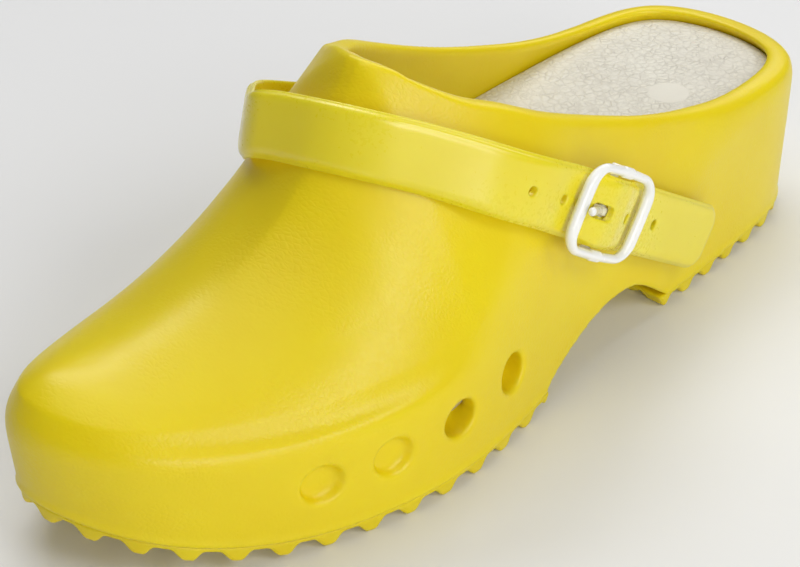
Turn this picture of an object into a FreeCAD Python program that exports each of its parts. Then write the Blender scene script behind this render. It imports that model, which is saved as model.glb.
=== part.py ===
import FreeCAD, Part
import math
import os
from FreeCAD import Placement, Rotation, Vector

# A left clog with a heel strap, in millimetres. While it is drawn, the toe points to -Y, the
# outer (buckle) side is +X and the tread stands on Z = 0. ORIGIN then moves the whole shoe, so
# that the middle of its footprint box is at the origin.
ORIGIN = Vector(4.4, -4.45, 0.0)

# Plan of the welt line, where the sole wall turns into the upper: toe tip, outer side, heel, inner side.
WELT_PLAN = [(-11.5, -144.5), (20, -135.5), (36, -114), (46.5, -88), (52.5, -54), (48.6, -20), (42.5, 20),
             (40.6, 60), (37.8, 95), (28.5, 126), (0, 136), (-28, 125.5), (-35.8, 95), (-36.5, 60),
             (-39.5, 20), (-42.5, -20), (-42.5, -56), (-36.5, -89), (-27.5, -123)]
# Side-view heights along the shoe, as (y, z) or (y, value).
WELT_HEIGHT = [(-150, 39.4), (-143.5, 39.0), (-100, 33.2), (-60, 32.5), (-20, 33.5), (20, 46), (60, 56),
               (100, 55), (150, 53.5)]
VAMP_RISE = [(-150, 20), (-125, 18.5), (-105, 21.5), (-85, 28), (-70, 36.5), (-56, 50.5), (-47, 62.5), (-41, 71),
             (-20, 84.5), (0, 87), (20, 73), (45, 48.5), (65, 19), (90, 8), (150, 6)]
VAMP_ROUND = [(-150, 1.84), (-130, 1.84), (-80, 1.63), (-45, 1.36), (-10, 1.6), (40, 1.65), (150, 1.65)]
RIM_HEIGHT = [(-45, 106), (-40.6, 102.6), (-35.9, 99.9), (-33.2, 97.4), (-22.8, 91.1), (-12.4, 87), (0.6, 80.8),
              (13.7, 75.3), (28.4, 69.7), (43.8, 64.7), (61.9, 59.7), (80.2, 56), (100, 54.2), (142, 53.8)]
FOOTBED_HEIGHT = [(-150, 28), (-130, 26), (-100, 24.5), (-60, 24.5), (-20, 31.5), (10, 40.5), (42, 47.5),
                  (80, 50), (150, 50)]
ARCH_EDGE = [(-13.7, 4.7), (-5.9, 8.3), (4.8, 11.8), (15.2, 14.6), (25.3, 16), (35.3, 14.8), (49.9, 4.7)]

VAMP_SPREAD = 46.0        # distance from the welt at which the vamp reaches its full rise
STEEP_SHARE = 0.09        # share of the spread over which the upper leaves the welt in a straight slope
SIDE_LEAN = 0.17          # how much rounder the inner side is than the outer side
WALL = 5.0                # thickness of the moulded upper
WALL_DRAFT = 1.3          # how far the sole wall leans in at ground level
FOOT_SHIFT = 1.1          # how far the sole's foot stands outwards, which makes the outer wall nearly upright
TREAD = 4.7               # thickness of the tread band under the bead line
TOE_SPRING = 10.1         # rise of the tread at the toe
TOE_SPRING_FROM = -85.0
TOE_SPRING_RUN = 50.0
LUG_DEPTH = 3.0
LUG_SIDE = 6.2
LUG_PITCH = 8.2
TREAD_INSET = 1.5         # the tread band stands this far inside the welt line, before FOOT_SHIFT
COVER = 1.8               # insole cover thickness
CUSHION = 3.2             # insole base thickness
VENT_RADIUS = 5.4
VENTS = [(-94.0, 20.6), (-75.0, 21.1), (-53.5, 22.1), (-30.5, 22.7)]   # (y, z)
BLIND_VENTS = 2           # the ones nearest the toe do not go through
BLIND_DEPTH = 2.8

# The line of the heel strap is drawn in an inclined plane through the pivot axis, which runs along X,
# as (x, reach): reach is the distance from the pivot axis, up towards the toe.
PIVOT_Y = 49.2
PIVOT_Z = 28.5
STRAP_TILT = 32.0         # degrees that the strap plane rises towards the toe
STRAP_WIDTH = 18.4
STRAP_THICK = 2.2
STRAP_LINE = [(46.1, -13), (46.1, 37.2), (48.5, 40.6), (49.9, 46.5), (49.9, 52.5), (46.1, 61), (46.1, 86.4),
              (17, 122.4), (-13.6, 124.3), (-37.8, 100.4), (-44.5, 60), (-40.1, -9)]
STRAP_ROUNDING = [0, 3, 3, 8, 6, 8, 34, 30, 9, 24, 50, 0]
# Along the strap, in mm from its free end: how far it drops below that plane, how many degrees it leans
# back, and how many times STRAP_WIDTH it is wide.
STRAP_DROP = [(0, 0), (70, 0), (95, 0), (130, -2.1), (165, -7.6), (185, -12), (210, -10.2), (270, -3.6), (305, 0),
              (360, 0)]
STRAP_LEAN = [(0, 32), (95, 32), (130, 18.4), (165, 16.4), (185, 14.4), (210, 17.4), (265, 28), (310, 32),
              (360, 32)]
STRAP_SPREAD = [(0, 1.09), (75, 1.07), (92, 1.02), (108, 1.0), (360, 1.0)]
FLAT_DROP = [(0, 0), (360, 0)]
FLAT_LEAN = [(0, 32), (360, 32)]
FLAT_SPREAD = [(0, 1), (360, 1)]
STRAP_HOLE_RADIUS = 1.3
STRAP_HOLES_AT = [21.9, 42.0, 69.8, 82.9]
TAIL_CORNER = 5.5         # corner radius of the strap's free end
EAR_CORNER = 6.0          # corner radius of the strap ends that turn on the studs
PRONG_HOLE_RADIUS = 1.9
PRONG_HOLE_AT = 54.3
PRONG_HOLE_LENGTH = 3.6   # the hole that the prong uses is pulled long
ANCHOR_LINE = [(42.5, -8.5), (42.5, 10), (44.0, 33), (44.55, 50)]
ANCHOR_ROUNDING = [0, 30, 30, 0]
ANCHOR_THICK = 1.4
ANCHOR_WIDTH = 14.0
ARC_STEP = math.radians(7)   # a rounded corner turns by at most this much from one section to the next
SECTION_STEP = 7.0        # distance between sections on a straight stretch

STUD_RADIUS = 3.0
RUNNING_GAP = 0.15        # radial clearance of each hinge
STUD_HEAD_RADIUS = 5.5
STUD_HEAD_THICK = 1.2
STUD_DEPTH = 9.0
OUTER_STUD_HEAD_X = 43.5
INNER_STUD_HEAD_X = -42.3
BAR_X = 46.45             # centre bar of the buckle
BAR_REACH = 50.0
BAR_RADIUS = 1.1
LOOP_RADIUS = 2.0         # outside of the anchor strap where it turns round the centre bar
FRAME_X = 50.0            # middle of the buckle frame's thickness
FRAME_THICK = 3.4
FRAME_LENGTH = 34.2
FRAME_WIDTH = 26.4
FRAME_BAR = 4.3
FRAME_RAIL = 2.8
FRAME_CORNER = 6.6
WINDOW_CORNER = 2.8
FRAME_EDGE = 1.1          # rounding of the frame's edges
EAR_LENGTH = 3.4          # the two ears carry the centre bar under the frame's rails
PRONG_THICK = 1.8
PRONG_WIDTH = 2.4
PRONG_TIP = (53.9, 65.6)
SLOT_GAP = 0.4            # play of the prong in the anchor strap's slot, on each side

SIDE_SPAN = 90.0          # half length of the tools that cut across the whole shoe
os.makedirs("parts", exist_ok=True)


def smooth(table, at):
    """Value of a smooth curve through the table's points."""
    if at <= table[0][0]:
        return table[0][1]
    if at >= table[-1][0]:
        return table[-1][1]
    last = len(table) - 1
    i = max(k for k in range(last) if table[k][0] <= at)

    def slope(k):
        a, b = max(k - 1, 0), min(k + 1, last)
        return (table[b][1] - table[a][1]) / (table[b][0] - table[a][0])

    (y0, v0), (y1, v1) = table[i], table[i + 1]
    span = y1 - y0
    t = (at - y0) / span
    return ((2 * t**3 - 3 * t**2 + 1) * v0 + (t**3 - 2 * t**2 + t) * span * slope(i)
            + (3 * t**2 - 2 * t**3) * v1 + (t**3 - t**2) * span * slope(i + 1))


def plan_curve(inset):
    """Closed plan outline, moved in from the welt by inset."""
    points = []
    count = len(WELT_PLAN)
    for i, (x, y) in enumerate(WELT_PLAN):
        before, after = WELT_PLAN[i - 1], WELT_PLAN[(i + 1) % count]
        along = Vector(after[0] - before[0], after[1] - before[1], 0).normalize()
        points.append(Vector(x - along.y * inset, y + along.x * inset, 0))
    curve = Part.BSplineCurve()
    curve.interpolate(Points=points, PeriodicFlag=True)
    return curve


def plan_face(inset, z):
    wire = Part.Wire([plan_curve(inset).toShape()])
    wire.translate(Vector(0, 0, z))
    return wire, Part.Face(wire)


def plan_block(inset, low, high):
    return plan_face(inset, low)[1].extrude(Vector(0, 0, high - low))


WELT_POINTS = [(p.x, p.y) for p in plan_curve(0).discretize(420)]


def welt_distance(x, y):
    """Distance in from the welt line in plan; negative outside it."""
    best, inside = 1e9, False
    x0, y0 = WELT_POINTS[-1]
    for x1, y1 in WELT_POINTS:
        best = min(best, (x1 - x) ** 2 + (y1 - y) ** 2)
        if (y0 > y) != (y1 > y) and x < x0 + (y - y0) * (x1 - x0) / (y1 - y0):
            inside = not inside
        x0, y0 = x1, y1
    return math.sqrt(best) if inside else -math.sqrt(best)


def vamp_height(x, y, inward):
    """Height of the upper's surface, or of its lining when inward is the wall thickness."""
    share = (welt_distance(x, y) - inward) / VAMP_SPREAD
    power = smooth(VAMP_ROUND, y) - SIDE_LEAN * math.tanh(x / 20)
    part = min(abs(share), 1.0)
    steep = max(part, STEEP_SHARE)
    rise = smooth(VAMP_RISE, y) * (1 - (1 - steep) ** power) ** (1 / power) * part / steep
    return smooth(WELT_HEIGHT, y) + math.copysign(rise, share) - 0.7 * inward


def under_vamp(inward):
    """Everything below the upper's surface."""
    columns = [-58 + 3.0 * i for i in range(42)]
    rows = [-152 + 4.6 * i for i in range(65)]
    grid = [[Vector(x, y, vamp_height(x, y, inward)) for y in rows] for x in columns]
    surface = Part.BSplineSurface()
    surface.interpolate(grid)
    return surface.toShape().extrude(Vector(0, 0, -170))


def across(points_low_to_high):
    """Solid across the shoe's whole width, from a closed list of side-view edges."""
    face = Part.Face(Part.Wire(points_low_to_high))
    return face.extrude(Vector(2 * SIDE_SPAN, 0, 0))


def side_point(y, z):
    return Vector(-SIDE_SPAN, y, z)


def side_band(top, low_z):
    """Solid across the shoe below a smooth side-view line."""
    curve = Part.BSplineCurve()
    curve.interpolate(Points=[side_point(y, z) for y, z in top])
    first, last = top[0], top[-1]
    corners = [side_point(last[0], last[1]), side_point(last[0], low_z), side_point(first[0], low_z),
               side_point(first[0], first[1])]
    edges = [curve.toShape()] + [Part.makeLine(corners[i], corners[i + 1]) for i in range(3)]
    return across(edges)


def sole_line(y, drop):
    """Side-view height of the bead line, or of the tread face when drop is the tread thickness."""
    share = min(max((TOE_SPRING_FROM - y) / TOE_SPRING_RUN, 0.0), 1.3)
    return TREAD - drop + TOE_SPRING * share**2


def sole_band(drop):
    front = [(y, sole_line(y, drop)) for y in range(-156, -84, 8)] + [(-80, TREAD - drop)]
    low_z = -30.0
    curve = Part.BSplineCurve()
    curve.interpolate(Points=[side_point(y, z) for y, z in front])
    rest = [front[-1], (150, TREAD - drop), (150, low_z), (front[0][0], low_z), front[0]]
    edges = [curve.toShape()]
    for (y0, z0), (y1, z1) in zip(rest, rest[1:]):
        edges.append(Part.makeLine(side_point(y0, z0), side_point(y1, z1)))
    return across(edges)


def make_clog_body():
    low_wire = plan_face(WALL_DRAFT, -2)[0]
    low_wire.translate(Vector(FOOT_SHIFT, 0, 0))
    mid_wire = plan_face(0, 33)[0]
    top_wire = plan_face(0, 130)[0]
    outer = Part.makeLoft([low_wire, mid_wire, top_wire], True, True)
    outer = outer.common(under_vamp(0))
    rim = [(y, z) for y, z in RIM_HEIGHT]
    open_top = Part.makeBox(2 * SIDE_SPAN, 300, 90, Vector(-SIDE_SPAN, rim[0][0], 52))
    outer = outer.cut(open_top.cut(side_band(rim, 20)))
    outer = outer.cut(sole_band(0))
    outer = outer.cut(side_band(ARCH_EDGE, -20))
    floor = [(y, z - COVER - CUSHION) for y, z in FOOTBED_HEIGHT]
    cavity = plan_block(WALL, 0, 130).common(under_vamp(WALL)).cut(side_band(floor, -20))
    body = outer.cut(cavity)
    for i, (y, z) in enumerate(VENTS):
        for side in (1, -1):
            wall_x = edge_of_plan(y, side)
            depth = BLIND_DEPTH if i < BLIND_VENTS else WALL + 2.5
            start = Vector(wall_x + side * 12, y, z)
            body = body.cut(Part.makeCylinder(VENT_RADIUS, 12 + depth, start, Vector(-side, 0, 0)))
    for side in (1, -1):
        start = Vector(side * 60, PIVOT_Y, PIVOT_Z)
        wall_x = edge_of_plan(PIVOT_Y, side)
        length = 60 - abs(wall_x) + STUD_DEPTH + 0.5
        body = body.cut(Part.makeCylinder(STUD_RADIUS, length, start, Vector(-side, 0, 0)))
    return body.removeSplitter()


def edge_of_plan(y, side):
    """X of the welt line at y, on the outer (1) or inner (-1) side."""
    near = [x for x, py in WELT_POINTS if abs(py - y) < 2.0 and x * side > 0]
    return side * max(abs(x) for x in near)


def diamond(x, y):
    """Square pillar turned 45 degrees."""
    half = LUG_SIDE * math.sqrt(0.5)
    corners = [Vector(x + half, y, -3), Vector(x, y + half, -3), Vector(x - half, y, -3), Vector(x, y - half, -3)]
    return Part.Face(Part.makePolygon(corners + corners[:1])).extrude(Vector(0, 0, 40))


def make_outsole(front, back, front_lean, back_lean):
    """Tread band between two places along the shoe, with diamond lugs."""
    ends = [(front, -5), (back, -5), (back + back_lean, 30), (front + front_lean, 30), (front, -5)]
    keep = across(Part.makePolygon([side_point(y, z) for y, z in ends]).Edges)
    outline = plan_block(TREAD_INSET, -2, 40)
    outline.translate(Vector(FOOT_SHIFT, 0, 0))
    band = outline.common(keep).common(sole_band(0)).cut(sole_band(TREAD))
    plate = band.cut(sole_band(TREAD - LUG_DEPTH))
    lug_layer = band.common(sole_band(TREAD - LUG_DEPTH))
    step = LUG_PITCH * math.sqrt(0.5)
    count = int(160 / step)
    pillars = [diamond(i * step, j * step) for i in range(-count, count) for j in range(-2 * count, 2 * count)
               if (i + j) % 2 == 0 and front - 9 < j * step < back + 9 and abs(i * step) < 58]
    lugs = lug_layer.common(Part.makeCompound(pillars))
    return plate.fuse([lug for lug in lugs.Solids if lug.Volume > 4.0]).removeSplitter()


def make_insole(inset, drop, thick):
    """Layer of the insole whose top lies drop under the footbed surface."""
    top = [(y, z - drop) for y, z in FOOTBED_HEIGHT]
    bottom = [(y, z - drop - thick) for y, z in FOOTBED_HEIGHT]
    return plan_block(inset, 0, 80).common(side_band(top, -20)).cut(side_band(bottom, -20))


def rounded_path(line, rounding):
    """Points and directions along a line whose corners are rounded by arcs, in plan."""
    corners = [Vector(x, reach, 0) for x, reach in line]
    path = [corners[0]]
    for i in range(1, len(corners) - 1):
        here = corners[i]
        back = (corners[i - 1] - here).normalize()
        ahead = (corners[i + 1] - here).normalize()
        half_turn = (math.pi - back.getAngle(ahead)) / 2
        enter = here + back * (rounding[i] * math.tan(half_turn))
        centre = here + (back + ahead).normalize() * (rounding[i] / math.cos(half_turn))
        turn = math.copysign(2 * half_turn, ahead.cross(back).z)
        steps = max(2, math.ceil(2 * half_turn / ARC_STEP))
        for k in range(steps + 1):
            spin = Rotation(Vector(0, 0, 1), math.degrees(turn * k / steps))
            path.append(centre + spin.multVec(enter - centre))
    path.append(corners[-1])
    dense = [path[0]]
    for start, end in zip(path, path[1:]):
        parts = max(1, round((end - start).Length / SECTION_STEP))
        dense += [start + (end - start) * (k / parts) for k in range(1, parts + 1)]
    last = len(dense) - 1
    ahead = [(dense[min(i + 1, last)] - dense[max(i - 1, 0)]).normalize() for i in range(last + 1)]
    return list(zip(dense, ahead))


def strip(line, rounding, thick, width, drop, lean, spread):
    """Strip of constant thickness along a line, on the shoe. It sinks, leans and widens as the tables say."""
    plane = math.radians(STRAP_TILT)
    down = Vector(0, math.sin(plane), math.cos(plane))
    forward = Vector(0, -math.cos(plane), math.sin(plane))
    pivot = Vector(0, PIVOT_Y, PIVOT_Z)
    sections = []
    run = 0
    path = rounded_path(line, rounding)
    for i, (point, ahead) in enumerate(path):
        if i:
            run += (point - path[i - 1][0]).Length
        angle = math.radians(smooth(lean, run))
        across = Vector(0, math.sin(angle), math.cos(angle)) * smooth(spread, run)
        corners = []
        for offset, side in ((1, 1), (1, -1), (-1, -1), (-1, 1)):
            flat = point + Vector(ahead.y, -ahead.x, 0) * (offset * thick / 2)
            corners.append(pivot + Vector(flat.x, 0, 0) + forward * flat.y + down * smooth(drop, run)
                           + across * (side * width / 2))
        sections.append(Part.makePolygon(corners + corners[:1]))
    return Part.makeLoft(sections, True, True)


def end_corners(low, high, reach, width, radius):
    """The two corners to cut away at a strip's free end, between two places in x."""
    corner = Part.makeBox(high - low, radius, radius, Vector(low, reach, width / 2 - radius))
    corner = corner.cut(Part.makeCylinder(radius, high - low, Vector(low, reach + radius, width / 2 - radius),
                                          Vector(1, 0, 0)))
    return [to_shoe(corner), to_shoe(corner.mirror(Vector(0, 0, 0), Vector(0, 0, 1)))]


def to_shoe(shape):
    """Puts a shape drawn in the strap's own axes (x, reach, width) in its place on the shoe."""
    turn = Rotation(Vector(1, 0, 0), 180 - STRAP_TILT)
    shape.Placement = Placement(Vector(0, PIVOT_Y, PIVOT_Z), turn).multiply(shape.Placement)
    return shape


def cross_pin(radius, low_x, high_x, reach):
    return Part.makeCylinder(radius, high_x - low_x, Vector(low_x, reach, 0), Vector(1, 0, 0))


def make_heel_strap():
    strap = strip(STRAP_LINE, STRAP_ROUNDING, STRAP_THICK, STRAP_WIDTH, STRAP_DROP, STRAP_LEAN, STRAP_SPREAD)
    slot_start = PRONG_HOLE_AT - PRONG_HOLE_LENGTH / 2
    cuts = end_corners(44, 48, STRAP_LINE[0][1], STRAP_WIDTH * STRAP_SPREAD[0][1], TAIL_CORNER)
    cuts += end_corners(-44, -37, STRAP_LINE[-1][1] - 0.4, STRAP_WIDTH, EAR_CORNER)
    cuts += [to_shoe(cross_pin(STRAP_HOLE_RADIUS, 40, 52, reach)) for reach in STRAP_HOLES_AT]
    cuts += [to_shoe(cross_pin(PRONG_HOLE_RADIUS, 40, 54, slot_start + end)) for end in (0, PRONG_HOLE_LENGTH)]
    cuts.append(to_shoe(Part.makeBox(14, PRONG_HOLE_LENGTH, 2 * PRONG_HOLE_RADIUS,
                                     Vector(40, slot_start, -PRONG_HOLE_RADIUS))))
    cuts.append(to_shoe(cross_pin(STUD_RADIUS + RUNNING_GAP, -46, -36, 0)))
    for cut in cuts:
        strap = strap.cut(cut)
    return strap


def make_anchor_strap():
    strap = strip(ANCHOR_LINE, ANCHOR_ROUNDING, ANCHOR_THICK, ANCHOR_WIDTH, FLAT_DROP, FLAT_LEAN, FLAT_SPREAD)
    for corner in end_corners(41, 44, ANCHOR_LINE[0][1], ANCHOR_WIDTH, EAR_CORNER):
        strap = strap.cut(corner)
    bar_point = Vector(BAR_X, BAR_REACH, -ANCHOR_WIDTH / 2)
    strap = strap.fuse(to_shoe(Part.makeCylinder(LOOP_RADIUS, ANCHOR_WIDTH, bar_point)))
    slot_width = PRONG_WIDTH + 2 * SLOT_GAP
    prong_slot = Part.makeBox(9, 12, slot_width, Vector(BAR_X - 3, BAR_REACH - 3.4, -slot_width / 2))
    strap = strap.cut(to_shoe(Part.makeCylinder(BAR_RADIUS + RUNNING_GAP, ANCHOR_WIDTH, bar_point)))
    strap = strap.cut(to_shoe(prong_slot))
    return strap.cut(to_shoe(cross_pin(STUD_RADIUS + RUNNING_GAP, 40, 46, 0))).removeSplitter()


def rounded_plate(length, width, radius, thick):
    """Plate with rounded corners, thick along x, in the strap's own axes."""
    half_length, half_width = length / 2, width / 2
    plate = Part.makeBox(thick, length, width, Vector(-thick / 2, -half_length, -half_width))
    upright = [edge for edge in plate.Edges if abs(edge.tangentAt(edge.FirstParameter).x) > 0.9]
    return plate.makeFillet(radius, upright)


def make_buckle_frame():
    plate = rounded_plate(FRAME_LENGTH, FRAME_WIDTH, FRAME_CORNER, FRAME_THICK)
    window = rounded_plate(FRAME_LENGTH - 2 * FRAME_BAR, FRAME_WIDTH - 2 * FRAME_RAIL, WINDOW_CORNER,
                           FRAME_THICK + 2)
    frame = plate.cut(window)
    face_edges = [e for e in frame.Edges if abs(abs(e.CenterOfMass.x) - FRAME_THICK / 2) < 0.01]
    frame = frame.makeFillet(FRAME_EDGE, face_edges)
    frame.translate(Vector(FRAME_X, BAR_REACH, 0))
    rail_inner = FRAME_WIDTH / 2 - FRAME_RAIL + 0.2
    ear_width = FRAME_RAIL - 0.4
    for side in (0, 1):
        low = rail_inner if side else -rail_inner - ear_width
        ear = Part.makeBox(FRAME_X - BAR_X + BAR_RADIUS + 0.3, EAR_LENGTH, ear_width,
                           Vector(BAR_X - BAR_RADIUS - 0.3, BAR_REACH - EAR_LENGTH / 2, low))
        frame = frame.fuse(ear)
    bar = Part.makeCylinder(BAR_RADIUS, 2 * rail_inner + 0.4, Vector(BAR_X, BAR_REACH, -rail_inner - 0.2))
    return to_shoe(frame.fuse(bar).removeSplitter())


def make_buckle_prong():
    root = Vector(BAR_X, BAR_REACH, 0)
    tip = Vector(PRONG_TIP[0], PRONG_TIP[1], 0)
    along = (tip - root).normalize()
    arm = Part.makeBox((tip - root).Length, PRONG_THICK, PRONG_WIDTH, Vector(0, -PRONG_THICK / 2, -PRONG_WIDTH / 2))
    arm = arm.fuse(Part.makeCylinder(PRONG_THICK / 2, PRONG_WIDTH, Vector((tip - root).Length, 0, -PRONG_WIDTH / 2)))
    arm.Placement = Placement(root, Rotation(Vector(1, 0, 0), along))
    base = Vector(BAR_X, BAR_REACH, -PRONG_WIDTH / 2)
    ring = Part.makeCylinder(LOOP_RADIUS + 0.1, PRONG_WIDTH, base)
    bore = Part.makeCylinder(BAR_RADIUS + RUNNING_GAP, PRONG_WIDTH, base)
    return to_shoe(ring.fuse(arm).cut(bore).removeSplitter())


def make_stud(side, head_x):
    """Push-in stud that a strap end turns on."""
    wall_x = edge_of_plan(PIVOT_Y, side)
    inner_end = side * (abs(wall_x) - STUD_DEPTH)
    low, high = sorted((inner_end, head_x + side * 0.2))
    shaft = Part.makeCylinder(STUD_RADIUS, high - low, Vector(low, 0, 0), Vector(1, 0, 0))
    head = Part.makeCylinder(STUD_HEAD_RADIUS, STUD_HEAD_THICK, Vector(head_x, 0, 0), Vector(side, 0, 0))
    rim = [e for e in head.Edges if abs(e.CenterOfMass.x - head_x - side * STUD_HEAD_THICK) < 0.01]
    return to_shoe(shaft.fuse(head.makeFillet(0.5, rim)).removeSplitter())


SHAPES = {
    "clog_body": make_clog_body(),
    "forefoot_outsole": make_outsole(-160, -13.7, 0, 24),
    "heel_outsole": make_outsole(49.9, 160, -24, 0),
    "insole_base": make_insole(WALL + 0.3, COVER, CUSHION),
    "insole_cover": make_insole(WALL + 0.9, 0, COVER),
    "heel_strap": make_heel_strap(),
    "anchor_strap": make_anchor_strap(),
    "buckle_frame": make_buckle_frame(),
    "buckle_prong": make_buckle_prong(),
    "outer_pivot_stud": make_stud(1, OUTER_STUD_HEAD_X),
    "inner_pivot_stud": make_stud(-1, INNER_STUD_HEAD_X),
}

whole = Part.makeCompound(list(SHAPES.values())).optimalBoundingBox(True, False)
print("footprint middle:", round(whole.Center.x, 3), round(whole.Center.y, 3), "lowest:", round(whole.ZMin, 4))
for name, shape in SHAPES.items():
    shape.translate(-ORIGIN)
    print(name, "solids", len(shape.Solids), "valid", shape.isValid(), "volume cm3", round(shape.Volume / 1000, 2))
    shape.exportStep(f"parts/{name}.step")
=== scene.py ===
import math

import bpy
import numpy as np
from mathutils import Matrix, Vector


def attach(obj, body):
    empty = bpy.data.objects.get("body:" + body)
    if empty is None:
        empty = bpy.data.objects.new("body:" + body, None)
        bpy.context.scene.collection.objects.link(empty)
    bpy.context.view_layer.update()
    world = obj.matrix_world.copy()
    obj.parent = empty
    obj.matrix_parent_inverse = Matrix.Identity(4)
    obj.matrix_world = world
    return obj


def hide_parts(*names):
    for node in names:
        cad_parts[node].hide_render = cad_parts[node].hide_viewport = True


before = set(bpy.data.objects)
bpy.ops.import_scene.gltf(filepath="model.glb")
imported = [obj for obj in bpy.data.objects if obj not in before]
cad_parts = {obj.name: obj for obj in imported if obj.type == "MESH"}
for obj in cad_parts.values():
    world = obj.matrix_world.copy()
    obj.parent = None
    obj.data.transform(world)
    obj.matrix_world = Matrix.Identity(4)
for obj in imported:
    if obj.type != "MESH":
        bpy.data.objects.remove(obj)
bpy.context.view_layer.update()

# Lengths in this script are millimetres in the drawing's own axes: toe to -Y, buckle side +X,
# tread on Z = 0. SHIFT moves them onto the frame, whose origin is under the middle of the shoe.
MM = 0.001
SHIFT = np.array([-4.4, 4.45, 0.0])

OUTLINE_POINTS = 720
GRID_X = (-50, 60)        # a field is worked out on a grid that passes the shoe a little on all sides

# Plan of the welt, seen from above, from the toe's tip round by the outer side.
WELT_PLAN = [(-11.5, -144.5), (20, -135.5), (36, -114), (46.5, -88), (52.5, -54), (48.6, -20), (42.5, 20),
             (40.6, 60), (37.8, 95), (28.5, 126), (0, 136), (-28, 125.5), (-35.8, 95), (-36.5, 60),
             (-39.5, 20), (-42.5, -20), (-42.5, -56), (-36.5, -89), (-27.5, -123)]

# The tables below give a value at each place along the shoe: (y, value).
WELT_HEIGHT = [(-150, 39.4), (-143.5, 39.0), (-100, 33.2), (-60, 32.5), (-20, 33.5), (20, 46), (60, 56),
               (100, 55), (150, 53.5)]
VAMP_RISE = [(-150, 20), (-125, 18.5), (-105, 21.5), (-85, 28), (-70, 36.5), (-56, 50.5), (-47, 62.5),
             (-41, 71), (-20, 84.5), (0, 87), (20, 73), (45, 48.5), (65, 19), (90, 8), (150, 6)]
VAMP_ROUND = [(-150, 1.84), (-130, 1.84), (-80, 1.63), (-45, 1.36), (-10, 1.6), (40, 1.65), (150, 1.65)]
RIM_HEIGHT = [(-45, 106), (-40.6, 102.6), (-35.9, 99.9), (-33.2, 97.4), (-22.8, 91.1), (-12.4, 87),
              (0.6, 80.8), (13.7, 75.3), (28.4, 69.7), (43.8, 64.7), (61.9, 59.7), (80.2, 56), (100, 54.2),
              (142, 53.8)]
FOOTBED_HEIGHT = [(-150, 28), (-130, 26), (-100, 24.5), (-60, 24.5), (-20, 31.5), (10, 40.5), (42, 47.5),
                  (80, 50), (150, 50)]
ARCH_EDGE = [(-13.7, 4.7), (-5.9, 8.3), (4.8, 11.8), (15.2, 14.6), (25.3, 16), (35.3, 14.8), (49.9, 4.7)]
VAMP_SPREAD = 46.0        # the vamp reaches its full rise this far in from the welt
STEEP_SHARE = 0.09        # share of that spread below which the vamp's slope is capped
SIDE_LEAN = 0.17
WALL = 5.0
LINING_DROP = 0.7         # the lining lies lower than the upper by this much for each mm of wall
WALL_DRAFT = 1.3
DRAFT_FROM = 33.0         # the sole wall leans in below this height
DRAFT_RUN = 35.0
FOOT_SHIFT = 1.1
TREAD = 4.7
TREAD_STEP = 0.25
TOE_SPRING = 10.1
TOE_SPRING_FROM = -85.0
TOE_SPRING_RUN = 50.0
LUG_DEPTH = 3.0
LUG_PITCH = 9.2
EDGE_LUGS = 54
EDGE_LUG_RUN = 7.5
EDGE_LANE = 1.4           # half of the plain lane between the edge lugs and the diamonds
TREAD_END_LEAN = 24 / 35  # how far the ends of the treads at the arch lean, per mm of height
BEAD_DEPTH = 0.55
BEAD_HEIGHT = 0.9
WELT_EDGE = [(-150, 1.8), (-60, 2.4), (-20, 9), (20, 16), (60, 12), (150, 6)]
RIM_EDGE = [(-150, 1.0), (-40, 1.0), (-20, 2.2), (20, 3.2), (150, 3.2)]
LEDGE = 2.2               # flat ledge on the outer side, where the vamp meets the welt
LEDGE_SPAN = [(-150, 0), (-138, 0.15), (-118, 1), (-75, 1), (-52, 0.4), (-34, 0), (150, 0)]
COVER = 1.8
CUSHION = 3.2
BASE_INSET = 5.3          # the insole's foam lies this far in from the welt's outline
COVER_INSET = 5.9
VENT_RADIUS = 5.4
VENTS = [(-94.0, 20.6), (-75.0, 21.1), (-53.5, 22.1), (-30.5, 22.7)]
VENT_RIM = 1.3            # rounding of a vent's rim
BLIND_VENTS = 2           # this many vents from the toe are dimples, the others go through
BLIND_DEPTH = 2.8

# The strap, buckle and prong are drawn in (x, reach, width): reach runs forwards from the pivot line in
# the strap's plane, and width across the strap.
PIVOT_Y = 49.2
PIVOT_Z = 28.5
STRAP_TILT = math.radians(32.0)
STRAP_WIDTH = 18.4
STRAP_LINE = [(46.1, -13), (46.1, 37.2), (48.5, 40.6), (49.9, 46.5), (49.9, 52.5), (46.1, 61), (46.1, 86.4),
              (17, 122.4), (-13.6, 124.3), (-37.8, 100.4), (-44.5, 60), (-40.1, -9)]
STRAP_ROUNDING = [0, 3, 3, 8, 6, 8, 34, 30, 9, 24, 50, 0]
# Along the strap from its free end: how far it drops below the strap plane, its lean in degrees, and how
# many times STRAP_WIDTH it is wide.
STRAP_DROP = [(0, 0), (70, 0), (95, 0), (130, -2.1), (165, -7.6), (185, -12), (210, -10.2), (270, -3.6),
              (305, 0), (360, 0)]
STRAP_LEAN = [(0, 32), (95, 32), (130, 18.4), (165, 16.4), (185, 14.4), (210, 17.4), (265, 28), (310, 32),
              (360, 32)]
STRAP_SPREAD = [(0, 1.09), (75, 1.07), (92, 1.02), (108, 1.0), (360, 1.0)]
STRAP_HOLES_AT = [21.9, 42.0, 69.8, 82.9]
STRAP_HOLE_RADIUS = 1.3
PRONG_HOLE_AT = 54.3
PRONG_HOLE_RADIUS = 1.9
PRONG_HOLE_STRETCH = 1.9  # half of the slot's straight part
STUD_HOLE_RADIUS = 3.05
ANCHOR_LINE = [(42.5, -8.5), (42.5, 10), (44.0, 33), (44.55, 50)]
ANCHOR_ROUNDING = [0, 30, 30, 0]
ANCHOR_WIDTH = 14.0
BAR_X = 46.45
BAR_REACH = 50.0
BAR_RADIUS = 1.1
BAR_HOLE_RADIUS = 1.15
FRAME_X = 50.0
FRAME_LENGTH = 34.2
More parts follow.
